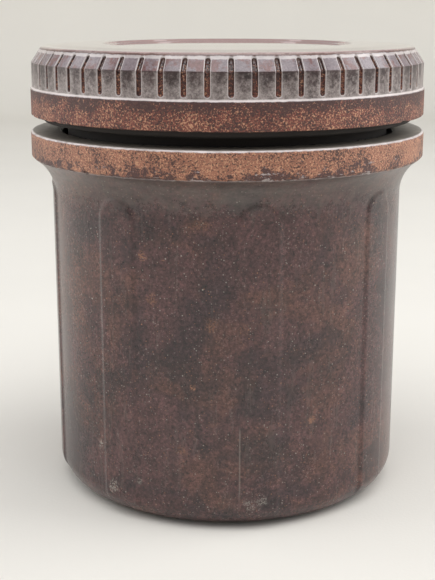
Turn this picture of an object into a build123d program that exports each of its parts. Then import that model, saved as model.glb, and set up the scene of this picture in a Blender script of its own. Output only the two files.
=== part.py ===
from build123d import *
import math
import os

# A round moulded jar for butter, with a screw lid that plugs into its mouth. Millimetres, +Z up.
# The origin is the middle of the face that the jar stands on, and -Y is the front.
# Three pieces: the crock's body, the lid, and the sealing ring that sits in the lid's underside.

# --- Driving dimensions of the crock's body
body_radius = 58.2              # plain cylinder between the raised strips
body_wall = 4.0
floor_thickness = 5.0
base_round = 9.0                # outer corner between wall and underside
cavity_round = 6.0              # inner corner between wall and floor
foot_ring_width = 8.2           # the flat ring that the jar stands on
foot_recess = 1.0               # hollow inside the foot ring
flange_overhang = 7.1           # flange outside the plain cylinder
flange_top = 120.3              # height of the rim above the standing face
flange_height = 8.8
flange_round = 1.0              # upper outer edge of the flange
flange_undercut = 0.8           # how far the cove starts inside the flange's outer face
cove_height = 11.5              # the hollow curve under the flange
mouth_step = 1.0                # the mouth is this much wider than the cavity, in radius
mouth_chamfer = 0.6
mouth_depth = 17.0              # the mouth's bore, which holds the thread

# --- Raised strips round the body
strip_count = 8
strip_width = 13.4
strip_height = 0.6              # how proud of the cylinder they stand
strip_drop = 16.5               # top of each strip's arched end, below the rim
strip_first_angle = -80.3       # degrees from +X to the strip nearest the front

# --- Screw thread between the lid's skirt and the mouth
thread_lead = 6.0
thread_turns = 1.25
thread_crest_width = 1.2
thread_base_width = 2.4
thread_depth = 1.6
thread_end_gap = 0.4            # radial gap from each crest to the wall facing it
thread_seat_gap = 0.25          # axial gap between the flanks that carry the lid
thread_root = 0.4               # how far a ridge is buried in its own wall
body_thread_start = 10.6        # start of the mouth's ridge, below the rim
skirt_lead_in = 0.4             # plain skirt below its ridge

# --- Lid
lid_lift = 5.15                 # gap between the rim and the lid's band as the lid stands
band_inset = 0.3                # the lid's band stands this far inside the flange
band_height = 8.5
band_edge = 0.5
ledge_step = 0.5                # the ribs' crests stand this far inside the band
rib_height = 8.3                # upright part of the ribs, above the band
rib_chamfer_height = 3.8
rib_chamfer_depth = 2.6
brow_height = 1.3               # rounded edge between the ribs' chamfer and the top
brow_depth = 1.7
crown_rise = 0.7                # the top swells this much from its edge to the dish
dish_margin = 18.9              # from the brow's inner edge to the dish
dish_depth = 0.8
lid_thickness = 4.0
skirt_floor_gap = 4.95          # from the skirt's end to the bottom of the mouth's bore
skirt_wall = 3.4
step_inset = 3.9                # the ring that hangs below the band stands this far inside it
step_drop = 1.9
step_wall = 2.3
pocket_depth = 4.6              # groove for the sealing ring, up from the step's lower edge
relief_wall = 6.9               # wall behind the ribs, outside the cored-out relief

# --- Grip grooves round the lid
groove_count = 60
groove_width = 1.7
groove_depth = 1.1
groove_first_angle = -89.0      # degrees from +X to the groove nearest the front
groove_foot = 0.6               # rib left below each groove, above the ledge

# --- Sealing ring
ring_clearance = 0.3
ring_proud = 0.6                # the ring hangs this far below the step

# --- Derived sizes
cavity_radius = body_radius - body_wall
flange_radius = body_radius + flange_overhang
mouth_radius = cavity_radius + mouth_step
foot_ring_radius = body_radius - base_round - foot_ring_width
cove_edge_radius = flange_radius - flange_undercut
flange_bottom = flange_top - flange_height
strip_top = flange_top - strip_drop
mouth_bottom = flange_top - mouth_depth
crest_radius = mouth_radius - thread_depth
skirt_radius = crest_radius - thread_end_gap
lid_crest_radius = mouth_radius - thread_end_gap
band_radius = flange_radius - band_inset
step_radius = band_radius - step_inset
rib_radius = band_radius - ledge_step
band_bottom = flange_top + lid_lift
band_top = band_bottom + band_height
rib_top = band_top + rib_height
chamfer_top = rib_top + rib_chamfer_height
chamfer_radius = rib_radius - rib_chamfer_depth
crown_edge_radius = chamfer_radius - brow_depth
dish_radius = crown_edge_radius - dish_margin
crown_edge = chamfer_top + brow_height
crown_top = crown_edge + crown_rise
dish_floor = crown_top - dish_depth
lid_ceiling = dish_floor - lid_thickness
skirt_bottom = mouth_bottom + skirt_floor_gap
skirt_bore = skirt_radius - skirt_wall
step_bottom = band_bottom - step_drop
pocket_radius = step_radius - step_wall
pocket_top = step_bottom + pocket_depth
relief_radius = rib_radius - relief_wall


def arc(centre, radius, start, end):
    """Three points of an arc about centre, between two angles in degrees."""
    angles = [math.radians(a) for a in (start, (start + end) / 2, end)]
    return [(centre[0] + radius * math.cos(a), centre[1] + radius * math.sin(a)) for a in angles]


def bulge(start, end, rise):
    """Three points of a shallow arc that stands to the left of the line from start to end."""
    length = math.dist(start, end)
    across = ((start[1] - end[1]) / length, (end[0] - start[0]) / length)
    middle = ((start[0] + end[0]) / 2 + rise * across[0], (start[1] + end[1]) / 2 + rise * across[1])
    return [start, middle, end]


def turned(*stations, angle=360.0):
    """Solid turned about Z. Each station is a (radius, height) point or an arc's three points."""
    runs = [station if isinstance(station, list) else [station] for station in stations]
    edges = []
    for run, following in zip(runs, runs[1:] + runs[:1]):
        if len(run) == 3:
            edges.append(ThreePointArc(*run))
        if math.dist(run[-1], following[0]) > 1e-6:
            edges.append(Line(run[-1], following[0]))
    section = make_face(Plane.XZ * Curve(edges))
    return revolve(section, Axis.Z, angle)


def thread_ridge(root_radius, crest_radius, start_height, start_angle):
    """One helical ridge of trapezoid section, from a radius inside its wall out to its crest."""
    height = thread_lead * thread_turns
    half_base = thread_base_width / 2
    half_crest = thread_crest_width / 2
    corners = [(root_radius, -half_base), (root_radius, half_base),
               (crest_radius, half_crest), (crest_radius, -half_crest)]
    rails = [Pos(0, 0, z) * Helix(thread_lead, height, r) for r, z in corners]
    sides = [Face.make_surface_from_curves(a.edge(), b.edge()) for a, b in zip(rails, rails[1:] + rails[:1])]
    ends = [Face(Wire.make_polygon([rail @ t for rail in rails], close=True)) for t in (0, 1)]
    ridge = Solid(Shell(sides + ends))
    if ridge.volume < 0:
        ridge = Solid(Shell([face for face in ridge.faces()][::-1]))
    return Pos(0, 0, start_height) * Rot(0, 0, start_angle) * ridge


def body_shell():
    """The jar without its thread and strips: base, wall, cove, flange and mouth."""
    overhang = cove_edge_radius - body_radius
    cove_radius = (overhang ** 2 + cove_height ** 2) / (2 * overhang)
    cove_angle = math.degrees(math.asin(cove_height / cove_radius))
    cove_foot = flange_bottom - cove_height
    return turned(
        (0, foot_recess),
        (foot_ring_radius - foot_recess, foot_recess),
        (foot_ring_radius, 0),
        arc((body_radius - base_round, base_round), base_round, -90, 0),
        arc((body_radius + cove_radius, cove_foot), cove_radius, 180, 180 - cove_angle),
        (flange_radius, flange_bottom + flange_undercut),
        arc((flange_radius - flange_round, flange_top - flange_round), flange_round, 0, 90),
        (mouth_radius + mouth_chamfer, flange_top),
        (mouth_radius, flange_top - mouth_chamfer),
        (mouth_radius, mouth_bottom),
        (cavity_radius, mouth_bottom - (mouth_radius - cavity_radius)),
        arc((cavity_radius - cavity_round, floor_thickness + cavity_round), cavity_round, 0, -90),
        (0, floor_thickness),
    )


def body_strip():
    """One raised strip: the wall's outline moved outwards, cut to a band with an arched top."""
    inner_radius = body_radius - body_wall / 2
    outer_radius = body_radius + strip_height
    slab = turned(
        (inner_radius, base_round),
        arc((outer_radius - base_round, base_round), base_round, -90 + 50, 0),
        (outer_radius, strip_top),
        (inner_radius, strip_top),
    )
    half = strip_width / 2
    arch_centre = strip_top - half
    upright = Plane.YZ * (Pos(0, arch_centre / 2) * Rectangle(strip_width, arch_centre))
    arch = Plane.YZ * (Pos(0, arch_centre) * Circle(half))
    band = extrude(upright + arch, 2 * body_radius)
    return slab & band


def crock_body():
    """The jar: shell, raised strips and the thread in its mouth."""
    strips = [Rot(0, 0, strip_first_angle + k * 360 / strip_count) * body_strip()
              for k in range(strip_count)]
    ridge = thread_ridge(mouth_radius + thread_root, crest_radius, flange_top - body_thread_start, 0)
    return body_shell() + strips + ridge


def lid_shell():
    """The lid without grooves and thread: band, ribs' ring, dished top, skirt and ring pocket."""
    return turned(
        (0, dish_floor),
        (dish_radius - dish_depth, dish_floor),
        (dish_radius, crown_top),
        bulge((crown_edge_radius, crown_edge), (dish_radius, crown_top), -crown_rise / 6)[::-1],
        bulge((chamfer_radius, chamfer_top), (crown_edge_radius, crown_edge), -0.35)[::-1],
        (rib_radius, rib_top),
        (rib_radius, band_top + ledge_step),
        (band_radius - ledge_step / 2, band_top + ledge_step / 2),
        (band_radius, band_top),
        (band_radius, band_bottom + band_edge),
        (band_radius - band_edge, band_bottom),
        (step_radius, band_bottom),
        (step_radius, step_bottom),
        (pocket_radius, step_bottom),
        (pocket_radius, pocket_top),
        (relief_radius, pocket_top),
        (relief_radius, lid_ceiling),
        (skirt_radius, lid_ceiling),
        (skirt_radius, skirt_bottom),
        (skirt_bore, skirt_bottom),
        (skirt_bore, lid_ceiling),
        (0, lid_ceiling),
    )


def groove_cutter():
    """A bent slot with round ends, up the rib's upright face and its chamfer, along +X."""
    half = groove_width / 2
    reach = 2 * groove_depth
    slope = math.degrees(math.atan2(rib_chamfer_depth, rib_chamfer_height))
    slant_length = math.hypot(rib_chamfer_depth, rib_chamfer_height)
    foot = band_top + ledge_step + groove_foot + half
    upright = Pos(rib_radius, 0, (foot + rib_top) / 2) * Box(reach, groove_width, rib_top - foot)
    foot_end = Pos(rib_radius, 0, foot) * Rot(0, 90, 0) * Cylinder(half, reach)
    bend = Pos(rib_radius, 0, rib_top) * Rot(0, -slope, 0)
    slant = bend * Pos(0, 0, (slant_length - half) / 2) * Box(reach, groove_width, slant_length - half)
    head_end = bend * Pos(0, 0, slant_length - half) * Rot(0, 90, 0) * Cylinder(half, reach)
    elbow = Pos(rib_radius, 0, rib_top) * Rot(90, 0, 0) * Cylinder(groove_depth, groove_width)
    return upright + foot_end + slant + head_end + elbow


def lid():
    """The lid: shell with its thread, less the grip grooves."""
    engaged = (lid_crest_radius - crest_radius) / thread_depth
    stacked = thread_crest_width + (thread_base_width - thread_crest_width) / 2 * engaged
    seated = flange_top - body_thread_start + stacked + thread_seat_gap
    start = skirt_bottom + skirt_lead_in + thread_base_width / 2
    start_angle = (start - seated) / thread_lead * 360
    ridge = thread_ridge(skirt_radius - thread_root, lid_crest_radius, start, start_angle)
    cutter = groove_cutter()
    grooves = [Rot(0, 0, groove_first_angle + k * 360 / groove_count) * cutter
               for k in range(groove_count)]
    return lid_shell() + ridge - grooves


def sealing_ring():
    """The rubber ring in the lid's pocket, round the top of the skirt."""
    bottom = step_bottom - ring_proud
    inner = skirt_radius + ring_clearance
    outer = pocket_radius - ring_clearance
    top = pocket_top - ring_clearance
    edge = ring_clearance
    return turned(
        (inner, bottom + edge),
        (inner + edge, bottom),
        (outer - edge, bottom),
        (outer, bottom + edge),
        (outer, top),
        (inner, top),
    )


os.makedirs("parts", exist_ok=True)
nodes = {"crock_body": crock_body(), "lid": lid(), "sealing_ring": sealing_ring()}
for name, shape in nodes.items():
    export_step(shape, f"parts/{name}.step")
    print(name, "valid", shape.is_valid, "volume cm3", round(shape.volume / 1000, 1),
          "solids", len(shape.solids()))
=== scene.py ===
import math

import bpy
import numpy as np
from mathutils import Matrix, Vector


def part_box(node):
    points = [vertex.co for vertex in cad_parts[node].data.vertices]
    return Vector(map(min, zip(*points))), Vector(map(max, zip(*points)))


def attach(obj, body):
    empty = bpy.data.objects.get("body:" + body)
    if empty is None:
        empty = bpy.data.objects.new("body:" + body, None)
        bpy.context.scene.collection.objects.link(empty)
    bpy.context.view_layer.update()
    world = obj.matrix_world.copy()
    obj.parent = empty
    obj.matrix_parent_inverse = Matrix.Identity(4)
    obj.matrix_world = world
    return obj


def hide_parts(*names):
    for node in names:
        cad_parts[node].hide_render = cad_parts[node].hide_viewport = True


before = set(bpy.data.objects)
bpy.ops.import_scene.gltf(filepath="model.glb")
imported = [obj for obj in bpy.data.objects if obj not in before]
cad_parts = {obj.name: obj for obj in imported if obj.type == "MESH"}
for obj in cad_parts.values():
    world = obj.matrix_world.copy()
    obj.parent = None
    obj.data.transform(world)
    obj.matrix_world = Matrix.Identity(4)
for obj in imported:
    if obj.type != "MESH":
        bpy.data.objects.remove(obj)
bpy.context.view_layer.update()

bl_info = {
    "name": "Butter crock",
    "version": (1, 0, 0),
    "blender": (4, 5, 0),
    "location": "3D View > Sidebar > Crock",
    "description": "Builds the moulded crock, its screw lid and a pale stage round the packed parts",
    "category": "Add Mesh",
}

MM = 0.001
BODY_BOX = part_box("crock_body")
LID_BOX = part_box("lid")
RIM_HEIGHT = BODY_BOX[1].z
FLANGE_RADIUS = BODY_BOX[1].x
BAND_RADIUS = LID_BOX[1].x
LID_TOP = LID_BOX[1].z
SKIRT_BOTTOM = LID_BOX[0].z

NEAR_AXIS = 0.5 * MM        # radius of the smallest ring round a pole
PLAIN = 2.0                 # mark of a vertex away from any edge, in mm

# The screw thread, the same on both pieces
THREAD_LEAD = 6.0 * MM
THREAD_TURNS = 1.25
THREAD_DEPTH = 1.6 * MM
THREAD_ROOT = 0.3 * MM      # how far a ridge is sunk into its wall
THREAD_BASE = 2.6 * MM
THREAD_TIP = 1.2 * MM
THREAD_DROP = 10.6 * MM     # start of the crock's thread below the rim

# Layers of specks: cells a millimetre, size in cells, how rare, strength, place in the pattern
SPECKS = [(1.35, 0.36, 0.70, 0.55, 3.0), (0.80, 0.26, 0.84, 0.65, 47.0)]
# Chips and scuffs on the wall: degrees right of the front, height and size in mm, strength
ORANGE_CHIPS = [(-26, 87, 1.5, 0.6), (-10, 47, 1.1, 0.8), (27, 35, 1.4, 0.7), (-23, 74, 2.0, 0.4),
                (-4, 67, 2.2, 0.4), (52, 35, 1.0, 0.6), (-14, 26, 1.6, 0.4), (-8, 98, 2.4, 0.3)]
PALE_SCUFFS = [(-44, 23, 1.6, 0.8), (-38, 10, 2.2, 0.6), (11, 10, 2.0, 0.5), (7, 9, 2.2, 0.4),
               (-28, 14, 1.1, 0.4)]
SCRATCH_TURN = 4            # degrees right of the front
SCRATCH_SPAN = (12.0, 34.0)  # heights in mm

# Soft lights: name, place, what it faces, size, power in watts
CROCK_MIDDLE = (0, 0, 0.08)
LIGHTS = [("key", (1.0, 0.05, 0.65), CROCK_MIDDLE, (0.9, 0.9), 7.8),
          ("top", (0.05, -0.45, 1.15), CROCK_MIDDLE, (1.2, 0.8), 8.0),
          ("fill", (-1.0, 0.05, 0.55), CROCK_MIDDLE, (0.9, 0.9), 5.0),
          ("backdrop", (0.0, 0.55, 1.3), (0, 1.5, 0.25), (1.6, 0.4), 3.0)]


# --- Sizes and colours that a user would change

def length(name, description, default):
    """A length in metres, shown in the scene's unit."""
    return bpy.props.FloatProperty(name=name, description=description, default=default,
                                   min=0.0, unit="LENGTH", subtype="DISTANCE", precision=4)


def tint(name, description, default):
    """A linear colour."""
    return bpy.props.FloatVectorProperty(name=name, description=description, default=default,
                                         size=3, min=0.0, max=1.0, subtype="COLOR")


class CrockSizes(bpy.types.PropertyGroup):
    """Sizes of the crock's body."""
    rim_height: length("Rim height", "Top of the flange above the shelf", RIM_HEIGHT)
    flange_radius: length("Flange radius", "Outer face of the flange", FLANGE_RADIUS)
    flange_height: length("Flange height", "Height of the flange's worn band", 8.8 * MM)
    overhang: length("Overhang", "Flange outside the plain wall", 7.1 * MM)
    wall: length("Wall", "Thickness of the wall", 4.0 * MM)
    floor: length("Floor", "Thickness of the floor", 5.0 * MM)
    foot_rise: length("Foot rise", "Height of the hollow inside the foot ring", 1.0 * MM)
    base_round: length("Base round", "Corner between wall and underside", 9.0 * MM)
    cove_height: length("Cove height", "Hollow curve under the flange", 11.5 * MM)
    strip_count: bpy.props.IntProperty(name="Strips", description="Raised strips round the wall",
                                       default=8, min=1, max=24)
    strip_width: length("Strip width", "Width of a raised strip", 13.4 * MM)
    strip_height: length("Strip height", "How proud a strip stands", 0.6 * MM)
    strip_top: length("Strip top", "Top of a strip's arched end", 103.8 * MM)
    strip_turn: bpy.props.FloatProperty(name="Strip turn", subtype="ANGLE", unit="ROTATION",
                                        description="Direction of the first strip, from +X",
                                        default=math.radians(-80.3))


class LidSizes(bpy.types.PropertyGroup):
    """Sizes of the screw lid."""
    band_radius: length("Band radius", "Outer face of the plain band", BAND_RADIUS)
    top: length("Top", "Highest point of the lid as it stands", LID_TOP)
    lift: length("Lift", "Gap between the rim and the lid's band", 5.15 * MM)
    band_height: length("Band height", "Height of the plain band", 8.5 * MM)
    dish_radius: length("Dish radius", "Edge of the shallow dish in the top", 41.3 * MM)
    skirt_radius: length("Skirt radius", "Outside of the threaded skirt", 53.2 * MM)
    skirt_bore: length("Skirt bore", "Inside of the threaded skirt", 49.8 * MM)
    rib_height: length("Rib height", "Upright part of the ribs", 8.3 * MM)
    groove_count: bpy.props.IntProperty(name="Grooves", description="Grip grooves round the lid",
                                        default=60, min=12, max=120)
    groove_width: length("Groove width", "Width of a grip groove", 1.7 * MM)
    groove_depth: length("Groove depth", "Depth of a grip groove", 1.1 * MM)
    groove_turn: bpy.props.FloatProperty(name="Groove turn", subtype="ANGLE", unit="ROTATION",
                                         description="Direction of the first groove, from +X",
                                         default=math.radians(-89.0))


class ResinColours(bpy.types.PropertyGroup):
    """Colours of the moulded resin, its filler and what time has left on it, and of painted light and
    shade.
    """
    plum: tint("Plum", "Most of the skin", (0.074, 0.034, 0.034))
    umber: tint("Umber", "Red-brown clouds in the skin", (0.100, 0.045, 0.036))
    slate: tint("Slate", "Blue-grey clouds in the skin", (0.020, 0.014, 0.018))
    orange: tint("Orange", "Chips and the warmest specks", (0.38, 0.17, 0.09))
    cream: tint("Cream", "Scuffs and the palest specks", (0.46, 0.42, 0.37))
    # Haze made lighter is also painted light on the flange's top
    haze: tint("Haze", "Grey film under and on the flange", (0.170, 0.150, 0.128))
    filler: tint("Filler", "Wood filler bared by wear", (0.350, 0.145, 0.088))
    ember: tint("Ember", "Redder, darker filler on the lid", (0.190, 0.050, 0.034))
    gold: tint("Gold", "Pale fibres in the filler", (0.60, 0.32, 0.185))
    pit: tint("Pit", "Dark grains and pits in the filler", (0.036, 0.014, 0.014))
    # Bloom is also painted highlight: the bright line round the rim and the glints in the lid's
    # grooves
    bloom: tint("Bloom", "Pale deposit along edges", (0.62, 0.56, 0.55))
    chalk: tint("Chalk", "Deposit on the upright ribs", (0.300, 0.258, 0.247))
    pewter: tint("Pewter", "Sloping faces of the ribs", (0.215, 0.172, 0.186))
    blush: tint("Blush", "Red clouds on the sloping faces", (0.185, 0.092, 0.088))
    polish: tint("Polish", "Glossy top of the lid", (0.230, 0.100, 0.085))
    veil: tint("Veil", "Pale film along the lid's top edge", (0.56, 0.41, 0.38))
    rubbed: tint("Rubbed", "Thin brown line inside the film", (0.125, 0.062, 0.050))
    # Painted shade: a near-black used inside the mouth and under the lid's band
    gap_shade: tint("Gap shade", "Inside of the gap", (0.016, 0.012, 0.010))
    rubber: tint("Rubber", "The sealing ring", (0.018, 0.015, 0.013))
    dust: tint("Dust", "Bloom on the rubber", (0.12, 0.11, 0.10))


class StageSettings(bpy.types.PropertyGroup):
    """Camera and backdrop."""
    distance: length("Distance", "From the crock's axis to the camera", 389.6 * MM)
    height: length("Height", "Camera above the shelf", 161.5 * MM)
    pitch: bpy.props.FloatProperty(name="Pitch", description="How far the camera looks down",
                                   default=math.radians(14.12), subtype="ANGLE", unit="ROTATION")
    pan: bpy.props.FloatProperty(name="Pan", description="How far the camera looks left",
                                 default=math.radians(0.475), subtype="ANGLE", unit="ROTATION")
    lens: bpy.props.FloatProperty(name="Lens", description="Focal length in millimetres",
                                  default=71.4, min=10.0)
    paper: tint("Paper", "Floor and backdrop", (0.80, 0.775, 0.72))
    air: tint("Air", "Light from all round", (0.93, 0.95, 1.0))
    air_strength: bpy.props.FloatProperty(name="Air strength", description="Light from all round",
                                          default=0.33, min=0.0)


# --- Surfaces

def rounded(stations):
    """Outline in the (radius, height) half-plane through corner stations.
    A station is (radius, height, corner radius, rows on the corner, rows on the run after it).
    Each corner is the arc of its radius that touches both of its runs: it starts
    radius * tan(turn / 2) before the corner and sweeps through the turn."""
    points = np.array([station[:2] for station in stations], float)
    path = [points[:1]]
    for k in range(1, len(points)):
        back = points[k] - points[k - 1]
        back = back / np.hypot(*back)
        piece = points[k:k + 1]
        if k < len(points) - 1 and stations[k][2] > 0:
            ahead = points[k + 1] - points[k]
            ahead = ahead / np.hypot(*ahead)
            turn = math.acos(np.clip(back @ ahead, -1, 1))
            side = math.copysign(1, back[0] * ahead[1] - back[1] * ahead[0])
            start = points[k] - back * stations[k][2] * math.tan(turn / 2)
            centre = start + side * stations[k][2] * np.array([-back[1], back[0]])
            sweep = side * np.linspace(0, turn, stations[k][3] + 1)
            arm = start - centre
            piece = centre + np.stack([arm[0] * np.cos(sweep) - arm[1] * np.sin(sweep),
                                       arm[0] * np.sin(sweep) + arm[1] * np.cos(sweep)], -1)
        share = np.linspace(0, 1, stations[k - 1][4] + 1)[1:-1, None]
        path += [path[-1][-1] + (piece[0] - path[-1][-1]) * share, piece]
    return np.concatenate(path)


def outline_normals(path):
    """Unit normals of an outline travelled with its solid on the left: the tangent (dr, dz) turned
    to (dz, -dr)."""
    tangent = np.gradient(path, axis=0)
    tangent = tangent / np.maximum(np.hypot(tangent[:, 0], tangent[:, 1])[:, None], 1e-12)
    return np.stack([tangent[:, 1], -tangent[:, 0]], -1)


def smoothstep(low, high, value):
    """3 t^2 - 2 t^3 with t the share of the way from low to high, held to 0..1."""
    t = np.clip((value - low) / (high - low), 0, 1)
    return t * t * (3 - 2 * t)


def ragged(angle, seed, slowest, fastest):
    """Unevenness round a ring, about -1 to 1: the mean of cosines of the angle at seeded whole
    rates between slowest and fastest, with seeded phases, times the root of their number."""
    count = 14
    random = np.random.default_rng(seed)
    rates = random.integers(slowest, fastest, count)
    phases = random.uniform(0, 2 * math.pi, count)
    return np.cos(np.multiply.outer(angle, rates) + phases).mean(-1) * math.sqrt(count) * 0.8


def sector_angles(offsets, count, first, radius):
    """Column angles round the axis: the same offsets, lengths at the given radius, repeated in
    each of count equal sectors."""
    starts = first + np.arange(count)[:, None] * 2 * math.pi / count
    return (starts + np.asarray(offsets)[None] / radius).ravel()


def off_centre(angle, count, first):
    """Angle from the middle of the nearest sector, between plus and minus half a sector."""
    sector = 2 * math.pi / count
    return (angle - first + sector / 2) % sector - sector / 2


class Lathe:
    """A closed surface of revolution made of rings, which may be uneven and may change how many
    columns they have. Vertex (ring, column) is (r cos a, r sin a, z). A pole closes each end.
    A mark is a number that a vertex carries into the finish."""

    def __init__(self):
        self.vertices = []
        self.faces = []
        self.marks = []
        self.size = 0
        self.last = None

    def add(self, vertices, mark=PLAIN):
        """Keeps some vertices and their marks, and gives the first one's index."""
        self.vertices.append(vertices)
        self.marks.append(np.broadcast_to(mark, len(vertices)))
        self.size += len(vertices)
        return self.size - len(vertices)

    def pole(self, height):
        """Closes the surface at a point on the axis."""
        index = self.add(np.array([[0, 0, height]]))
        if self.last is None:
            self.last = (index, 1)
            return
        first, columns = self.last
        here = first + np.arange(columns)
        tip = np.full(columns, index)
        self.faces += np.stack([here, np.roll(here, -1), tip], -1).tolist()

    def rings(self, radius, height, angle, mark=PLAIN):
        """Adds rings: radius and height are arrays of shape (rings, columns)."""
        rows, columns = radius.shape
        grid = np.stack([radius * np.cos(angle), radius * np.sin(angle), height], -1)
        start = self.add(grid.reshape(-1, 3), np.broadcast_to(mark, radius.shape).ravel())
        column = np.arange(columns)
        following = (column + 1) % columns
        if self.last is not None:
            self.link(start, columns, column, following)
        row = start + np.arange(rows - 1)[:, None] * columns
        quads = np.stack([row + column, row + following, row + following + columns,
                          row + column + columns], -1)
        self.faces += quads.reshape(-1, 4).tolist()
        self.last = (start + (rows - 1) * columns, columns)

    def link(self, start, columns, column, following):
        """Joins the last ring to a new one. Where one has more columns, each face takes several
        edges of the finer ring and one of the coarser."""
        first, count = self.last
        if count == 1:
            tip = np.full(columns, first)
            self.faces += np.stack([tip, start + following, start + column], -1).tolist()
        elif count >= columns:
            step = count // columns
            fine = first + (column[:, None] * step + np.arange(step + 1)) % count
            self.faces += np.concatenate([fine, start + following[:, None],
                                          start + column[:, None]], 1).tolist()
        else:
            step = columns // count
            coarse = np.arange(count)
            fine = start + (coarse[:, None] * step + np.arange(step, -1, -1)) % columns
            self.faces += np.concatenate([first + coarse[:, None],
                                          first + (coarse[:, None] + 1) % count, fine], 1).tolist()

    def piece(self, name, mark_name=None):
        """The finished mesh object, smooth shaded, with the marks as a named vertex attribute."""
        mesh = bpy.data.meshes.new(name)
        mesh.from_pydata(np.concatenate(self.vertices).tolist(), [], self.faces)
        if mark_name:
            marks = mesh.attributes.new(mark_name, "FLOAT", "POINT")
            marks.data.foreach_set("value", np.concatenate(self.marks).astype(np.float32))
        mesh.polygons.foreach_set("use_smooth", np.ones(len(mesh.polygons), bool))
        mesh.validate()
        mesh.update()
        made = bpy.data.objects.new(name, mesh)
        bpy.context.scene.collection.objects.link(made)
        return made

    def shell(self, vertices, faces):
        """Adds a separate closed shell, turned so that its faces point outwards: the sum of
        a . (b x c) over its triangles is six times its volume and has to be positive."""
        faces = np.asarray(faces)
        a, b, c = (vertices[faces[:, k]] for k in (0, 1, 2))
        d = vertices[faces[:, 3]]
        volume = (a * np.cross(b, c)).sum() + (a * np.cross(c, d)).sum()
        if volume < 0:
            faces = faces[:, ::-1]
        start = self.add(vertices)
        self.faces += (faces + start).tolist()


def thread_ridge(root, crest, start, start_angle):
    """A helical ridge of trapezoid section. Its centre is at height start + lead * t / (2 pi) at
    angle start_angle + t, and its depth fades in and out over a share of its length."""
    fade = 0.12
    t = np.linspace(0, 2 * math.pi * THREAD_TURNS, round(160 * THREAD_TURNS))
    share = t / t[-1]
    depth = smoothstep(0, fade, share) * smoothstep(1, 1 - fade, share)
    outer = root + (crest - root) * (0.05 + 0.95 * depth)
    radius = np.stack([np.full_like(t, root), outer, outer, np.full_like(t, root)], -1)
    offset = np.array([-THREAD_BASE, -THREAD_TIP, THREAD_TIP, THREAD_BASE]) / 2
    height = start + THREAD_LEAD * t[:, None] / (2 * math.pi) + offset
    angle = (start_angle + t)[:, None]
    vertices = np.stack([radius * np.cos(angle), radius * np.sin(angle), height], -1)
    row = np.arange(len(t) - 1)[:, None] * 4
    side = np.arange(4)
    following = (side + 1) % 4
    faces = np.stack([row + side, row + side + 4, row + following + 4, row + following], -1)
    last = 4 * (len(t) - 1)
    caps = [[0, 1, 2, 3], [last + 3, last + 2, last + 1, last]]
    return vertices.reshape(-1, 3), np.concatenate([faces.reshape(-1, 4), caps])


# --- Shader expressions

class Value:
    """A socket that takes part in Python sums. Each sum adds its Math node."""

    def __init__(self, finish, socket):
        self.finish = finish
        self.socket = socket

    def math(self, operation, *values):
        """A Math node on this value and the others."""
        inputs = dict(enumerate((self, *values)))
        return self.finish.node("ShaderNodeMath", {"operation": operation}, inputs)

    def __add__(self, other):
        return self.math("ADD", other)

    def __sub__(self, other):
        return self.math("SUBTRACT", other)

    def __mul__(self, other):
        return self.math("MULTIPLY", other)

    def __truediv__(self, other):
        return self.math("DIVIDE", other)

    def __rsub__(self, other):
        return self.finish.node("ShaderNodeMath", {"operation": "SUBTRACT"}, {0: other, 1: self})

    def __rtruediv__(self, other):
        return self.finish.node("ShaderNodeMath", {"operation": "DIVIDE"}, {0: other, 1: self})

    def __abs__(self):
        return self.math("ABSOLUTE")

    __radd__ = __add__
    __rmul__ = __mul__


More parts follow.
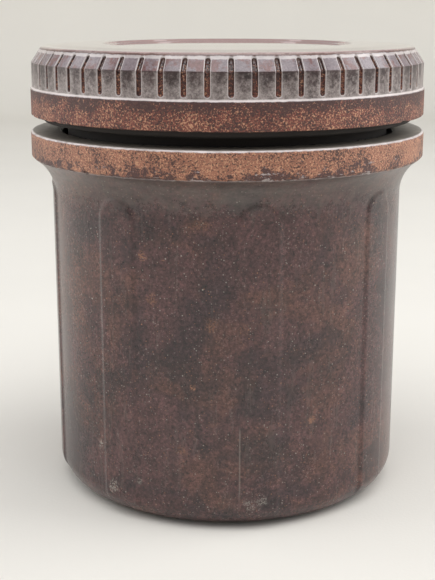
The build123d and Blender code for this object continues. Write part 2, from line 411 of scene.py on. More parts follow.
class Finish:
    """A material whose pattern is written as expressions on Object coordinates in millimetres."""

    def __init__(self, name):
        self.material = bpy.data.materials.new(name)
        self.material.use_nodes = True
        self.tree = self.material.node_tree
        self.tree.nodes.clear()
        place = self.node("ShaderNodeTexCoord", output="Object")
        self.place = self.vector("SCALE", place, scale=1 / MM)
        self.x, self.y, self.z = self.parts(self.place)
        self.radius = (self.x * self.x + self.y * self.y).math("SQRT")

    def node(self, kind, settings=None, inputs=None, output=0):
        """Adds a node: its settings first, then each input as a value or a link."""
        made = self.tree.nodes.new(kind)
        for key, setting in (settings or {}).items():
            setattr(made, key, setting)
        for key, value in (inputs or {}).items():
            if isinstance(value, Value):
                self.tree.links.new(value.socket, made.inputs[key])
            else:
                made.inputs[key].default_value = value
        return Value(self, made.outputs[output]) if made.outputs else None

    def parts(self, vector):
        """The three numbers of a vector."""
        first = self.node("ShaderNodeSeparateXYZ", {}, {0: vector})
        outputs = first.socket.node.outputs
        return [Value(self, outputs[k]) for k in range(3)]

    def vector(self, operation, first, second=None, scale=None, output=0):
        """A Vector Math node."""
        inputs = {0: first}
        if second is not None:
            inputs[1] = second
        if scale is not None:
            inputs["Scale"] = scale
        return self.node("ShaderNodeVectorMath", {"operation": operation}, inputs, output)

    def stretched(self, across, up):
        """Object coordinates scaled sideways and upwards, for streaks."""
        return self.vector("MULTIPLY", self.place, (across, across, up))

    def noise(self, scale, detail=3.0, rough=0.5, place=None, shift=0.0, distortion=0.0):
        """Noise between 0 and 1; scale is in features a millimetre."""
        spot = self.vector("ADD", place or self.place, (shift, shift * 0.7, -shift))
        return self.node("ShaderNodeTexNoise", {}, {"Vector": spot, "Scale": scale, "Detail": detail,
                                                    "Roughness": rough, "Distortion": distortion})

    def cells(self, scale, output="Distance", shift=0.0):
        """Voronoi cells; scale is in cells a millimetre and the distance is in cells."""
        spot = self.vector("ADD", self.place, (shift, -shift, shift * 0.6))
        return self.node("ShaderNodeTexVoronoi", {"feature": "F1"},
                         {"Vector": spot, "Scale": scale, "Randomness": 1.0}, output)

    def step(self, value, low, high):
        """Smooth step from 0 at low to 1 at high. Low may be above high."""
        if low > high:
            return 1.0 - self.step(value, high, low)
        return self.node("ShaderNodeMapRange", {"interpolation_type": "SMOOTHSTEP"},
                         {"Value": value, "From Min": low, "From Max": high})

    def between(self, value, low, high, soft):
        """1 where value is between low and high, fading over soft."""
        return self.step(value, low - soft, low + soft) * self.step(value, high + soft, high - soft)

    def mix(self, share, first, second):
        """Colour that goes from first to second."""
        inputs = {0: share, 6: self.colour(first), 7: self.colour(second)}
        return self.node("ShaderNodeMix", {"data_type": "RGBA"}, inputs, 2)

    def blend(self, share, first, second):
        """Number that goes from first to second."""
        return first + (second - first) * share

    def colour(self, value):
        """A colour as a socket takes it: a link, or four numbers."""
        return value if isinstance(value, Value) else (*value[:3], 1.0)

    def shade(self, colour, factor):
        """Colour times a number."""
        return self.vector("SCALE", colour, scale=factor)

    def bump(self, height, distance, normal=None):
        """Bump normal; height is 0 to 1 and distance the relief's depth in millimetres."""
        inputs = {"Strength": 1.0, "Distance": distance * MM, "Height": height}
        if normal is not None:
            inputs["Normal"] = normal
        return self.node("ShaderNodeBump", {}, inputs)

    def attribute(self, name):
        """A vertex attribute as a number."""
        return self.node("ShaderNodeAttribute", {"attribute_name": name}, output="Fac")

    def surface(self, base, roughness, normal=None, ior=1.58, coat=0.0):
        """Finishes the material."""
        inputs = {"Base Color": self.colour(base), "Roughness": roughness, "IOR": ior,
                  "Coat Weight": coat}
        if normal is not None:
            inputs["Normal"] = normal
        shader = self.node("ShaderNodeBsdfPrincipled", {}, inputs)
        self.node("ShaderNodeOutputMaterial", {}, {"Surface": shader})
        return self.material


# --- Finishes

# Noise scales are features a millimetre. A mask is 0 to 1, and its two limits are lengths in
# millimetres or levels of the noise; a shift moves a pattern away from the others.

def skin(finish, colours):
    """Colour, roughness and relief of the moulded skin: plum with red-brown and slate clouds, a
    grain of wood flour and a scatter of pale and orange specks."""
    cloud = finish.noise(0.040, 6.0, 0.66, shift=11.0, distortion=0.4)
    warm = finish.step(cloud, 0.46, 0.60)
    cold = finish.step(finish.noise(0.045, 6.0, 0.62, shift=43.0, distortion=0.5), 0.46, 0.62)
    grain = finish.noise(1.1, 3.0, 0.80, shift=5.0)
    patch = finish.noise(0.16, 6.0, 0.72, shift=83.0)
    worn = finish.noise(0.55, 5.0, 0.75, shift=27.0)
    # Clouds, then grain, then patches rubbed brighter or duller
    base = finish.mix(warm, colours.plum, colours.umber)
    base = finish.mix(cold * 0.65, base, colours.slate)
    base = finish.shade(base, (grain * 4.0 - 0.98) * (patch * 2.0 + 0.01))
    base = finish.shade(base, 1.10 - finish.step(worn, 0.56, 0.42) * 0.30)
    base = finish.mix(finish.step(worn, 0.56, 0.66) * 0.20, base, finish.shade(colours.umber, 1.6))
    # Specks gather in swarms, and each cell says how rare, large and warm its own is
    swarm = finish.step(finish.noise(0.10, 4.0, 0.6, shift=31.0), 0.42, 0.60)
    for scale, size, rare, strength, shift in SPECKS:
        pick = finish.parts(finish.cells(scale, output="Color", shift=shift))
        spot = finish.step(finish.cells(scale, shift=shift) + pick[2] * size * 0.5, size, size * 0.5)
        spot = spot * finish.step(pick[0] + swarm * 0.22, rare, rare + 0.10) * strength
        tone = finish.mix(finish.step(pick[1], 0.40, 0.60), colours.cream, colours.orange)
        base = finish.mix(spot, base, tone)
    rough = 0.15 + grain * 0.10 + finish.noise(0.09, 3.0, shift=71.0) * 0.10
    relief = grain * 0.4 + patch * 0.6
    return base, rough, relief


def filler(finish, colours, ground, dark, shift=0.0):
    """Colour and relief of wood filler bared by wear: grains of the ground colour with gold fibres
    and dark pits."""
    grain = finish.noise(1.9, 2.0, 0.6, shift=7.0 + shift)
    pits = finish.noise(1.7, 3.0, 0.65, shift=91.0 + shift)
    fine = finish.noise(4.0, 2.0, 0.6, shift=29.0)
    patch = finish.noise(0.12, 4.0, 0.65, shift=53.0 + shift)
    base = finish.shade(ground, 0.10 + patch * 0.6 + fine * 1.1)
    gilt = finish.step(grain + (fine - 0.5) * 0.3 + (patch - 0.5) * 0.2, 0.52, 0.62) * 0.85
    base = finish.mix(gilt, base, finish.shade(colours.gold, 0.5 + fine))
    hollow = finish.step(pits + (patch - 0.5) * 0.4 - dark, 0.48, 0.40) * 0.88
    return finish.mix(hollow, base, colours.pit), grain * 0.6 + pits * 0.4


def crumbs(finish, turn, height, radius, size):
    """Crumbs within size of a point on a wall of this radius, turned this far right of the front:
    a ball with a broken edge, cut into grains by finer noise. Lengths are millimetres."""
    turn = math.radians(turn)
    point = (radius * math.sin(turn), -radius * math.cos(turn), height)
    gap = finish.vector("DISTANCE", finish.place, point, output="Value")
    crumble = (finish.noise(0.9 / size, 4.0, 0.7, shift=turn * 50 + height) - 0.5) * size * 3.0
    grains = finish.noise(1.8, 3.0, 0.65, shift=height)
    return finish.step(gap + crumble, size * 1.2, size * 0.5) * finish.step(grains, 0.46, 0.57)


def body_finish(sizes, colours):
    """The crock's body: skin, worn filler band on the flange, bloom and scuffs on its edges, painted
    light at the rim, painted shade in the mouth.
    """
    finish = Finish("crock_resin")
    rim = sizes.rim_height / MM
    flange = sizes.flange_radius / MM
    wall = flange - sizes.overhang / MM
    band_foot = rim - sizes.flange_height / MM
    base, rough, relief = skin(finish, colours)
    # Chips, scuffs and a thin upright scratch
    for turn, height, size, share in ORANGE_CHIPS:
        base = finish.mix(crumbs(finish, turn, height, wall, size) * share, base, colours.orange)
    for turn, height, size, share in PALE_SCUFFS:
        base = finish.mix(crumbs(finish, turn, height, wall, size) * share, base, colours.cream)
    turn = math.radians(SCRATCH_TURN)
    across = finish.x * math.cos(turn) + finish.y * math.sin(turn)
    scratch = finish.step(abs(across), 0.30, 0.12) * finish.between(finish.z, *SCRATCH_SPAN, 1.5)
    scratch = scratch * finish.step(finish.y, -40.0, -45.0)
    base = finish.mix(scratch * 0.22, base, colours.cream)
    # Grey film: under the flange, in upright wipes and on the flange's top, where it is made lighter
    # as painted light
    fray = finish.noise(0.35, 4.0, 0.7, shift=37.0) - 0.5
    patchy = finish.noise(0.5, 4.0, 0.7, place=finish.stretched(0.35, 1.0), shift=51.0) - 0.5
    under = finish.step(finish.z + fray * 20.0, band_foot - 13.0, band_foot - 4.0)
    base = finish.mix(under * (0.30 + patchy * 0.9), base, colours.haze)
    wipe = finish.noise(1.0, 4.0, 0.65, place=finish.stretched(0.30, 0.05), shift=17.0)
    film = finish.step(wipe, 0.52, 0.72) * 0.13
    base = finish.mix(film, base, colours.haze)
    head = finish.step(finish.z, rim - 0.6, rim - 0.2)
    # Painted light: the grey on the flange's top is lightened 1.5 times or more where the lid shades
    # it
    top_film_and_light = finish.shade(colours.haze, 1.5 + fray * 2.0)
    base = finish.mix(head, base, top_film_and_light)
    # Bare filler on the flange's outer face, bruised dark along its foot
    outer = finish.step(finish.radius, flange - 1.3, flange - 0.9)
    foot = finish.step(finish.z + fray * 2.4, band_foot - 0.35, band_foot + 0.2)
    brow = finish.step(finish.z + fray * 1.2, rim - 0.30, rim - 0.60)
    bare = outer * foot * brow
    low = finish.noise(0.22, 5.0, 0.7, shift=23.0)
    bruise = finish.step(finish.z - (low - 0.5) * 26.0, band_foot + 2.6, band_foot - 0.2)
    ground, grit = filler(finish, colours, colours.filler, bruise * 0.16)
    ground = finish.mix(bruise * 0.55, ground, finish.shade(colours.pit, 2.2))
    base = finish.mix(bare, base, ground)
    # Pale nicks and hem at the band's foot, and a pale line round the rim's rounded edge that is a
    # painted highlight
    nick = finish.noise(0.8, 4.0, 0.7, place=finish.stretched(0.35, 1.0), shift=67.0)
    nick = finish.step(nick, 0.58, 0.64) * bruise * outer
    hem = outer * finish.between(finish.z + fray * 0.9, band_foot - 0.3, band_foot + 0.15, 0.15)
    base = finish.mix(nick * 0.6 + hem * 0.35, base, colours.bloom)
    # Painted highlight: a bright line of bloom colour along the rim's rounded outer edge
    lip = finish.step(finish.radius, flange - 0.85, flange - 0.45)
    lip = lip * finish.step(finish.z + fray * 0.7, rim - 0.62, rim - 0.40)
    base = finish.mix(lip * (0.78 + patchy * 1.8), base, finish.shade(colours.bloom, 1.3))
    # Painted shade inside the mouth
    inside = finish.step(finish.radius, flange - 9.6, flange - 10.0)
    inside = inside * finish.step(finish.z, 90.0, 96.0)
    base = finish.mix(inside * 0.85, base, colours.gap_shade)
    rough = finish.blend(bare, rough + under * 0.08 + film * 0.4, 0.50)
    rough = finish.blend(head, rough, 0.42)
    normal = finish.bump(relief, 0.055)
    normal = finish.bump(grit * bare, 0.30, normal=normal)
    return finish.surface(base, rough, normal)


def lid_finish(sizes, rim_height, colours):
    """The lid: worn filler band, grey-brown ribs with pale outlines, brown grooves, glossy top,
    painted shade underneath.
    """
    finish = Finish("lid_resin")
    band_foot = (rim_height + sizes.lift) / MM
    band_head = band_foot + sizes.band_height / MM
    bend = band_head + sizes.rib_height / MM
    outer = sizes.band_radius / MM
    shoulder = outer - 3.1
    edge = finish.attribute("groove_edge")
    base, rough, relief = skin(finish, colours)
    fray = finish.noise(0.55, 4.0, 0.7, shift=37.0) - 0.5
    dust = finish.noise(0.9, 4.0, 0.72, shift=13.0)
    drift = finish.noise(0.16, 4.0, 0.65, shift=3.0) - 0.5
    # Masks of the part above the bend, of the ribs and of their sloping faces, and how far
    # up the upright faces a point is
    crowned = finish.step(finish.z, bend, bend + 1.0)
    ribs = finish.step(finish.z, band_head + 0.1, band_head + 0.3)
    ribs = ribs * finish.step(finish.radius, shoulder - 0.2, shoulder + 0.05)
    slope = finish.step(finish.z + fray * 0.5, bend - 0.1, bend + 0.25)
    rise = (finish.z - band_head) / (bend - band_head)
    # Ribs: chalk that thins out upwards, then pewter with red clouds, and a dark crease
    chalk = 0.64 - rise * 0.48 + finish.step(edge, 1.6, 0.2) * 0.22
    chalk = finish.step(chalk + (dust - 0.5) * 1.5 + drift * 0.9, 0.05, 0.85)
    face = finish.mix(chalk, finish.shade(colours.plum, 0.50 + drift * 1.4), colours.chalk)
    face = finish.shade(face, finish.noise(2.0, 3.0, 0.75, shift=57.0) * 2.1 - 0.02)
    blush = finish.step(drift + fray * 0.4, -0.02, 0.12)
    tilt = finish.mix(blush, colours.pewter, colours.blush)
    tilt = finish.shade(tilt, dust * 1.0 + finish.noise(2.0, 3.0, 0.7, shift=77.0) * 1.2 - 0.1)
    base = finish.mix(ribs, base, finish.mix(slope, face, tilt))
    crease = finish.between(finish.z + fray * 0.9, bend - 0.25, bend + 0.10, 0.15)
    base = finish.mix(crease * ribs * 0.55, base, finish.shade(colours.pit, 1.4))
    # Grooves of bare filler, with pale outlines and glints on their sloping ends
    inside = finish.step(edge, 0.02, -0.06)
    groove, grit = filler(finish, colours, colours.ember, 0.07)
    groove = finish.shade(groove, 1.15 - rise * 0.45)
    base = finish.mix(inside * ribs, base, groove)
    line = finish.step(edge + fray * 0.22, 0.30, 0.14) * finish.step(edge, -0.06, 0.02)
    line = line * (0.55 + slope * 0.30 + drift * 0.8)
    base = finish.mix(line * ribs, base, colours.bloom)
    glint = finish.between(edge, -0.46, -0.30, 0.05) * slope * finish.step(dust, 0.38, 0.55)
    base = finish.mix(glint * ribs * 0.55, base, colours.bloom)
    # Pale crest along the ribs' tops, and the films and thin brown line inside it
    crest = finish.between(finish.radius + fray * 0.45, shoulder - 0.30, shoulder + 0.30, 0.10)
    crest = crest * crowned * finish.step(edge, -0.1, 0.05)
    base = finish.mix(crest * (0.80 + drift * 1.2), base, colours.bloom)
    brow = crowned * finish.between(finish.radius + fray * 0.7, shoulder - 0.70, shoulder - 0.35, 0.12)
    veil = finish.between(finish.radius + fray * 0.8, shoulder - 2.2, shoulder - 0.6, 0.35)
    brink = finish.between(finish.radius + fray * 0.5, outer - 24.9, outer - 23.6, 0.2)
    veil = (veil * 0.75 + brink * 0.55) * crowned
    # Pale ledge under the ribs
    ledge = finish.between(finish.z + fray * 0.55, band_head - 0.02, band_head + 0.62, 0.16)
    ledge = ledge * finish.step(finish.radius, outer - 1.2, outer - 0.8)
    base = finish.mix(ledge * (0.92 + drift * 0.9), base, finish.shade(colours.bloom, 1.2))
    # Plain band of bare filler, scorched towards its top, over an underside in painted shade
    band = finish.step(finish.radius, outer - 0.25, outer - 0.1)
    band = band * finish.step(finish.z + fray * 0.3, band_head + 0.05, band_head - 0.2)
    scorch = finish.step(finish.z - drift * 12.0, band_foot + 4.0, band_head - 0.5)
    ground, grit_band = filler(finish, colours, colours.ember, 0.03 + scorch * 0.13, 13.0)
    ground = finish.mix(scorch * 0.25, ground, finish.shade(colours.pit, 2.0))
    base = finish.mix(band, base, ground)
    # Painted shade: below the band's foot, in the gap, the lid takes a near-black colour
    under = finish.step(finish.z, band_foot - 0.05, band_foot - 0.30)
    base = finish.mix(under * 0.96, base, colours.gap_shade)
    # Glossy top
    top = finish.step(finish.radius, shoulder - 0.3, shoulder - 1.0) * crowned
    base = finish.mix(top * 0.5, base, colours.polish)
    base = finish.mix(veil * (0.7 + dust * 0.6), base, colours.veil)
    base = finish.mix(brow * 0.6, base, colours.rubbed)
    rough = finish.blend(ribs, rough, 0.32 + dust * 0.12 - slope * 0.14)
    rough = finish.blend(top, rough, 0.06 + dust * 0.05)
    rough = finish.blend(band, rough, 0.58)
    rough = finish.blend(under, rough, 0.8)
    normal = finish.bump(relief * (1.0 - top * 0.9), 0.035)
    normal = finish.bump(grit_band * band + grit * inside * ribs, 0.30, normal=normal)
    return finish.surface(base, rough, normal, coat=top)


def rubber_finish(colours):
    """Aged black rubber with a dusty bloom."""
    finish = Finish("ring_rubber")
    dust = finish.noise(0.8, 5.0, 0.7)
    base = finish.mix(finish.step(dust, 0.5, 0.8) * 0.35, colours.rubber, colours.dust)
    return finish.surface(base, 0.55 + dust * 0.3, finish.bump(dust, 0.05), ior=1.5)


def paper_finish(paper):
    """Pale matt backdrop with a faint unevenness."""
    finish = Finish("backdrop_paper")
    cloud = finish.noise(0.006, 3.0, 0.5)
    base = finish.shade(paper, 0.96 + cloud * 0.08)
    fibre = finish.bump(finish.noise(0.9, 3.0), 0.05)
    return finish.surface(base, 0.9 + cloud * 0.05, fibre, ior=1.3)


# --- Operators

def put(piece, body, node, finish):
    """Gives a piece its finish in a material slot and its body, and hides the CAD node that it stands
    for.
    """
    piece.data.materials.append(finish)
    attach(piece, body)
    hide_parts(node)


class CROCK_OT_body(bpy.types.Operator):
    """Build the crock's body: base, wall with raised strips, cove, flange, mouth and thread"""
    bl_idname = "crock.body"
    bl_label = "Crock body"

    def execute(self, context):
        sizes = context.scene.crock_sizes
        flange = sizes.flange_radius
        rim = sizes.rim_height
        body = flange - sizes.overhang
        cavity = body - sizes.wall
        mouth = cavity + 1.0 * MM
        lip = flange - 0.8 * MM
        band_foot = rim - sizes.flange_height
        # The cove is the arc that leaves the wall upright and reaches the lip: with reach a and
        # height h its radius is (a^2 + h^2) / 2a, and it turns through asin(h / radius)
        reach = lip - body
        cove = (reach ** 2 + sizes.cove_height ** 2) / (2 * reach)
        bend = math.asin(sizes.cove_height / cove)
        cove_corner = band_foot - sizes.cove_height + cove * math.tan(bend / 2)
        arch_foot = sizes.strip_top - sizes.strip_width / 2
        foot = body - sizes.base_round - 8.2 * MM
        path = rounded([
            (NEAR_AXIS, sizes.foot_rise, 0, 0, 6),
            (foot - sizes.foot_rise, sizes.foot_rise, 0.3 * MM, 2, 2),
            (foot, 0, 0.3 * MM, 2, 4),
            (body, 0, sizes.base_round, 18, 22),
            (body, arch_foot, 0, 0, 20),
            (body, cove_corner, cove, 26, 1),
            (lip, band_foot, 0.15 * MM, 2, 3),
            (flange, band_foot + 0.8 * MM, 0.35 * MM, 3, 10),
            (flange, rim, 0.9 * MM, 8, 10),
            (mouth + 0.6 * MM, rim, 0.3 * MM, 3, 3),
            (mouth, rim - 0.6 * MM, 0.3 * MM, 3, 8),
            (mouth, rim - 17.0 * MM, 0.2 * MM, 2, 2),
            (cavity, rim - 18.0 * MM, 0.2 * MM, 2, 12),
            (cavity, sizes.floor, 6.0 * MM, 8, 8),
            (NEAR_AXIS, sizes.floor, 0, 0, 1),
        ])
        # Columns stand close together at a strip's edges and wider apart between them
        half = sizes.strip_width / 2
        spacing = 2 * math.pi * body / sizes.strip_count
        slope = np.array([-1.3, -0.9, -0.5, -0.2, 0.2, 0.5, 0.9, 1.3]) * MM
        clear = 1.8 * MM
        inner = np.linspace(clear - half, half - clear, 11)
        outer = np.linspace(half + clear, spacing - half - clear, 29)
        offsets = np.concatenate([slope - half, inner, slope + half, outer])
        angle = sector_angles(offsets, sizes.strip_count, sizes.strip_turn, body)
        radius = np.repeat(path[:, :1], len(angle), 1)
        height = np.repeat(path[:, 1:], len(angle), 1)
        # A strip is the wall within half a width of its middle line, with a round arch above
        # its foot, and its edge is a smooth step
        across = off_centre(angle, sizes.strip_count, sizes.strip_turn) * body
        above = np.maximum(height - arch_foot, 0)
        edge = np.hypot(across, above) - half
        outside = (path[:, 0] > body - sizes.base_round) & (path[:, 1] < sizes.strip_top + 2 * MM)
        outside &= np.arange(len(path)) < np.argmax(path[:, 0])
        raised = smoothstep(0.8 * MM, -1.1 * MM, edge) * outside[:, None]
        raised = raised * smoothstep(1.5 * MM, 7.0 * MM, height)
        radius = radius + raised * sizes.strip_height
        # Chips: the peaks of the unevenness, in a bell curve exp(-(distance / width)^2) from the
        # edge that they bite into
        chips = np.clip(ragged(angle, 4, 30, 150) - 0.55, 0, 0.7)
        at_lip = np.exp(-((height - band_foot - 0.3 * MM) / (0.5 * MM)) ** 2)
        at_lip = at_lip * (radius > lip - 0.8 * MM)
        height = height + at_lip * chips * 0.7 * MM
        radius = radius - at_lip * chips * 0.6 * MM
        nicks = np.clip(ragged(angle, 9, 20, 120) - 0.5, 0, 0.8)
        at_mouth = np.exp(-((height - rim) / (0.7 * MM)) ** 2)
        at_mouth = at_mouth * np.exp(-((radius - mouth) / (0.9 * MM)) ** 2)
        height = height - at_mouth * nicks * 0.8 * MM
        lathe = Lathe()
        lathe.pole(sizes.foot_rise)
        lathe.rings(radius, height, angle)
        lathe.pole(sizes.floor)
        lathe.shell(*thread_ridge(mouth + THREAD_ROOT, mouth - THREAD_DEPTH,
                                  rim - THREAD_DROP, 0.0))
        piece = lathe.piece("crock_shell")
        finish = body_finish(sizes, context.scene.crock_colours)
        put(piece, "crock", "crock_body", finish)
        return {"FINISHED"}


class CROCK_OT_lid(bpy.types.Operator):
    """Build the lid: skirt with thread, ring pocket, plain band, grip ribs and dished top"""
    bl_idname = "crock.lid"
    bl_label = "Screw lid"

    def execute(self, context):
        sizes = context.scene.crock_lid
        band = sizes.band_radius
        foot = context.scene.crock_sizes.rim_height + sizes.lift
        head = foot + sizes.band_height
        rib = band - 0.5 * MM
        bend = head + sizes.rib_height
        slant = np.array([-2.6, 3.8]) * MM
        dish = sizes.dish_radius
        crown = sizes.top - 0.05 * MM
        dish_floor = crown - 0.55 * MM
        ceiling = crown - 4.8 * MM
        skirt = sizes.skirt_radius
        bore = sizes.skirt_bore
        relief = rib - 6.9 * MM
        step = band - 3.9 * MM
        pocket = step - 2.3 * MM
        step_foot = foot - 1.9 * MM
        pocket_head = step_foot + 4.6 * MM
        half = sizes.groove_width / 2
        hidden = rounded([
            (NEAR_AXIS, ceiling, 0, 0, 6),
            (bore, ceiling, 2.0 * MM, 4, 6),
            (bore, SKIRT_BOTTOM, 0.5 * MM, 3, 2),
            (skirt, SKIRT_BOTTOM, 0.5 * MM, 3, 8),
            (skirt, ceiling, 1.0 * MM, 3, 2),
            (relief, ceiling, 1.0 * MM, 3, 4),
            (relief, pocket_head, 0.2 * MM, 2, 1),
            (pocket, pocket_head, 0.2 * MM, 2, 3),
            (pocket, step_foot, 0.4 * MM, 3, 2),
            (step, step_foot, 0.5 * MM, 4, 2),
            (step, foot, 0.2 * MM, 2, 3),
            (band, foot, 0.45 * MM, 5, 8),
            (band, head - 0.6 * MM, 0, 0, 1),
        ])
        # The grooves' round lower ends, the bend between the ribs' upright and sloping faces,
        # and the corner above the grooves' upper ends
        groove_foot = head + 1.1 * MM + half
        corner = np.array([rib, bend])
        uphill = slant / np.hypot(*slant)
        top_corner = corner + slant * 1.36
        fluted = rounded([
            (band, head - 0.5 * MM, 0, 0, 1),
            (band, head, 0.18 * MM, 2, 1),
            (rib + 0.05 * MM, head + 0.28 * MM, 0.3 * MM, 2, 2),
            (rib, groove_foot - half - 0.1 * MM, 0, 0, 12),
            (rib, groove_foot + 0.1 * MM, 0, 0, 5),
            (rib, bend, 0.35 * MM, 4, 3),
            (*(corner + slant - uphill * 2 * half), 0, 0, 11),
            (*(corner + slant * 1.01), 0, 0, 1),
            (*top_corner, 1.3 * MM, 7, 2),
            (band - 6.2 * MM, crown - 0.62 * MM, 0, 0, 1),
        ])
        covered = rounded([
            (band - 6.6 * MM, crown - 0.60 * MM, 0, 0, 4),
            ((band + dish) / 2, crown - 0.16 * MM, 0, 0, 4),
            (dish, crown, 0.5 * MM, 4, 1),
            (dish - 0.8 * MM, crown - 0.8 * MM, 0.6 * MM, 4, 8),
            (NEAR_AXIS, dish_floor, 0, 0, 1),
        ])
        # Columns stand at these shares of a groove's half width and midway between grooves
        shares = np.array([0, 0.4, 0.7, 0.88, 0.97, 1.03, 1.15, 1.5, 2.6])
        pitch = 2 * math.pi * rib / sizes.groove_count
        offsets = np.concatenate([-shares[:0:-1], shares]) * half
        offsets = np.append(offsets, pitch / 2)
        angle = sector_angles(offsets, sizes.groove_count, sizes.groove_turn, rib)
        coarse = angle[::3]
        # A groove is a slot with round ends along the outline, edge 1 at its border, sunk along
        # the outline's normal by depth * sqrt(1 - edge^4), with a slight swelling round it
        normal = outline_normals(fluted)
        travel = np.concatenate([[0], np.cumsum(np.hypot(*np.diff(fluted, axis=0).T))])
        slot_foot = travel[np.argmin(np.hypot(*(fluted - [rib, groove_foot]).T))]
        slot_head = slot_foot + (bend - groove_foot) + np.hypot(*slant) - half
        across = off_centre(angle, sizes.groove_count, sizes.groove_turn) * rib
        beyond = np.maximum(slot_foot - travel, 0) + np.maximum(travel - slot_head, 0)
        edge = np.hypot(across[None], beyond[:, None]) / half
        cut = np.sqrt(np.clip(1 - edge ** 4, 0, 1)) * sizes.groove_depth
        cut = cut + 0.07 * MM * smoothstep(1.35, 1.0, edge) * (edge >= 1)
        radius = fluted[:, :1] - cut * normal[:, :1]
        height = fluted[:, 1:] - cut * normal[:, 1:]
        mark = np.clip((edge - 1) * half / MM, -PLAIN, PLAIN)
        lathe = Lathe()
        lathe.pole(ceiling)
        chips = np.clip(ragged(coarse, 21, 30, 140) - 0.6, 0, 0.7)
        at_foot = np.exp(-((hidden[:, 1:] - foot) / (0.5 * MM)) ** 2)
        at_foot = at_foot * (hidden[:, :1] > band - 0.9 * MM)
        lathe.rings(hidden[:, :1] - at_foot * chips * 0.35 * MM,
                    hidden[:, 1:] + at_foot * chips * 0.4 * MM, coarse)
        lathe.rings(radius, height, angle, mark)
        lathe.rings(np.repeat(covered[:, :1], len(coarse), 1),
                    np.repeat(covered[:, 1:], len(coarse), 1), coarse)
        lathe.pole(dish_floor)
        # The lid's thread rides above the crock's by the gap between their flanks, and starts
        # further round by one turn for each lead of height
        rim = context.scene.crock_sizes.rim_height
        seated = rim - THREAD_DROP + 1.9 * MM
        start = SKIRT_BOTTOM + 1.6 * MM
        lathe.shell(*thread_ridge(skirt - THREAD_ROOT, skirt + THREAD_DEPTH, start,
                                  (start - seated) / THREAD_LEAD * 2 * math.pi))
        piece = lathe.piece("lid_shell", "groove_edge")
        finish = lid_finish(sizes, rim, context.scene.crock_colours)
        put(piece, "cover", "lid", finish)
        return {"FINISHED"}


class CROCK_OT_ring(bpy.types.Operator):
    """Give the sealing ring its aged rubber"""
    bl_idname = "crock.ring"
    bl_label = "Sealing ring"

    def execute(self, context):
        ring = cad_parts["sealing_ring"]
        ring.data.materials.clear()
        ring.data.materials.append(rubber_finish(context.scene.crock_colours))
        return {"FINISHED"}


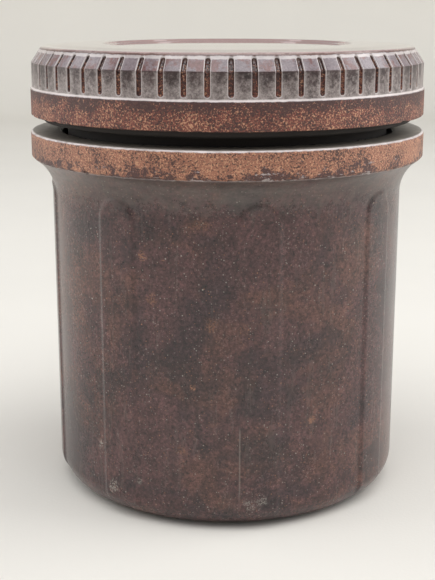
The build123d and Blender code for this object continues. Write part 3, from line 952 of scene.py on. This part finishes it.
class CROCK_OT_stage(bpy.types.Operator):
    """Build the pale sweep, the soft lights and the camera"""
    bl_idname = "crock.stage"
    bl_label = "Stage"

    def execute(self, context):
        settings = context.scene.crock_stage
        # A floor that curves up into a round wall, higher behind than in front: the wall's
        # heights are scaled by 0.35 + 0.65 * smoothstep(sin(turn))
        floor = -0.1 * MM
        reach, corner, wall = 1.5, 0.20, 0.9
        path = rounded([(0.02, 0, 0, 0, 24), (reach, 0, corner, 14, 6), (reach, wall, 0, 0, 1)])
        turn = np.linspace(0, 2 * math.pi, 97)[:-1]
        rise = 0.35 + 0.65 * smoothstep(0.1, 0.8, np.sin(turn))
        grid = np.stack(np.broadcast_arrays(path[:, :1] * np.cos(turn), path[:, :1] * np.sin(turn),
                                            floor + path[:, 1:] * rise), -1)
        mesh = bpy.data.meshes.new("sweep")
        row = np.arange(len(path) - 1)[:, None] * len(turn)
        column = np.arange(len(turn))
        after = (column + 1) % len(turn)
        faces = np.stack([row + column, row + column + len(turn), row + after + len(turn),
                          row + after], -1)
        centre = [column.tolist()]
        mesh.from_pydata(grid.reshape(-1, 3).tolist(), [], faces.reshape(-1, 4).tolist() + centre)
        mesh.polygons.foreach_set("use_smooth", np.ones(len(mesh.polygons), bool))
        sweep = bpy.data.objects.new("sweep", mesh)
        context.scene.collection.objects.link(sweep)
        mesh.materials.append(paper_finish(settings.paper))
        for row in LIGHTS:
            self.light(*row)
        world = bpy.data.worlds.new("soft_room")
        world.use_nodes = True
        background = world.node_tree.nodes["Background"]
        background.inputs["Color"].default_value = (*settings.air, 1.0)
        background.inputs["Strength"].default_value = settings.air_strength
        context.scene.world = world
        data = bpy.data.cameras.new("camera")
        data.lens = settings.lens
        camera = bpy.data.objects.new("camera", data)
        camera.location = (0, -settings.distance, settings.height)
        camera.rotation_euler = (math.pi / 2 - settings.pitch, 0, settings.pan)
        context.scene.collection.objects.link(camera)
        context.scene.camera = camera
        context.scene.view_settings.view_transform = "Standard"
        return {"FINISHED"}

    def light(self, name, place, target, size, power):
        """A soft rectangular light that faces a target."""
        data = bpy.data.lights.new(name, "AREA")
        data.shape = "RECTANGLE"
        data.size, data.size_y = size
        data.energy = power
        lamp = bpy.data.objects.new(name, data)
        lamp.location = place
        aim = Vector(target) - lamp.location
        lamp.rotation_euler = aim.to_track_quat("-Z", "Y").to_euler()
        bpy.context.scene.collection.objects.link(lamp)


class CROCK_PT_panel(bpy.types.Panel):
    """Lists the crock's sizes, colours and builders"""
    bl_label = "Butter crock"
    bl_idname = "CROCK_PT_panel"
    bl_space_type = "VIEW_3D"
    bl_region_type = "UI"
    bl_category = "Crock"

    def draw(self, context):
        scene = context.scene
        groups = [(scene.crock_sizes, CrockSizes), (scene.crock_lid, LidSizes),
                  (scene.crock_colours, ResinColours), (scene.crock_stage, StageSettings)]
        for group, kind in groups:
            box = self.layout.box()
            for name in kind.__annotations__:
                box.prop(group, name)
        for operator in OPERATORS:
            self.layout.operator(operator.bl_idname)


GROUPS = {"crock_sizes": CrockSizes, "crock_lid": LidSizes,
          "crock_colours": ResinColours, "crock_stage": StageSettings}
OPERATORS = [CROCK_OT_body, CROCK_OT_lid, CROCK_OT_ring, CROCK_OT_stage]
CLASSES = [*GROUPS.values(), *OPERATORS, CROCK_PT_panel]


def register():
    """Registers the classes and gives the scene its property groups."""
    for kind in CLASSES:
        bpy.utils.register_class(kind)
    for name, kind in GROUPS.items():
        setattr(bpy.types.Scene, name, bpy.props.PointerProperty(type=kind))


def unregister():
    """Undoes register."""
    for name in GROUPS:
        delattr(bpy.types.Scene, name)
    for kind in reversed(CLASSES):
        bpy.utils.unregister_class(kind)


def main():
    """Builds the pieces and the stage."""
    register()
    bpy.ops.crock.body()
    bpy.ops.crock.lid()
    bpy.ops.crock.ring()
    bpy.ops.crock.stage()


if __name__ == "__main__":
    main()
